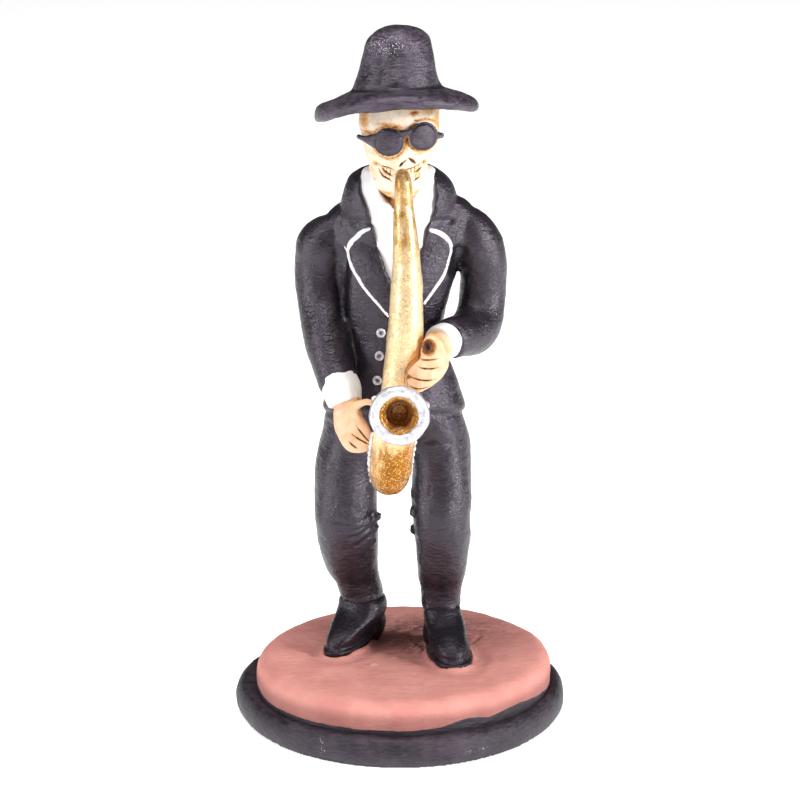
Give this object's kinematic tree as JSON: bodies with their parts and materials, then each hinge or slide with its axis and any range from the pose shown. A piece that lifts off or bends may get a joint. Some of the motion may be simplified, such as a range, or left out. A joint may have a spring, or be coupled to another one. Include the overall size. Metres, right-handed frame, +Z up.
{
  "type": "skeleton musician sculpture",
  "caption": "Painted clay statuette of a skeleton musician in a black suit, brimmed hat and round dark glasses, playing a saxophone on a round stepped base.",
  "frame": {"origin": "centre of the base's underside, on the surface that the statuette stands on", "axes": "+Z up, -Y the way the musician faces, +X towards the musician's left"},
  "size_m": [0.106, 0.106, 0.2223],
  "materials": {
    "pink_clay": "matte",
    "black_rim": "satin",
    "black_suit": "satin",
    "black_hat": "satin",
    "black_glasses": "satin",
    "bone_paint": "satin",
    "white_paint": "matte",
    "silver_paint": "satin",
    "gold_paint": "satin"
  },
  "bodies": {
    "root": {"base": "pink_clay", "figure": "black_suit", "hat": "black_hat", "sunglasses": "black_glasses", "saxophone": "gold_paint"}
  },
  "joints": []
}
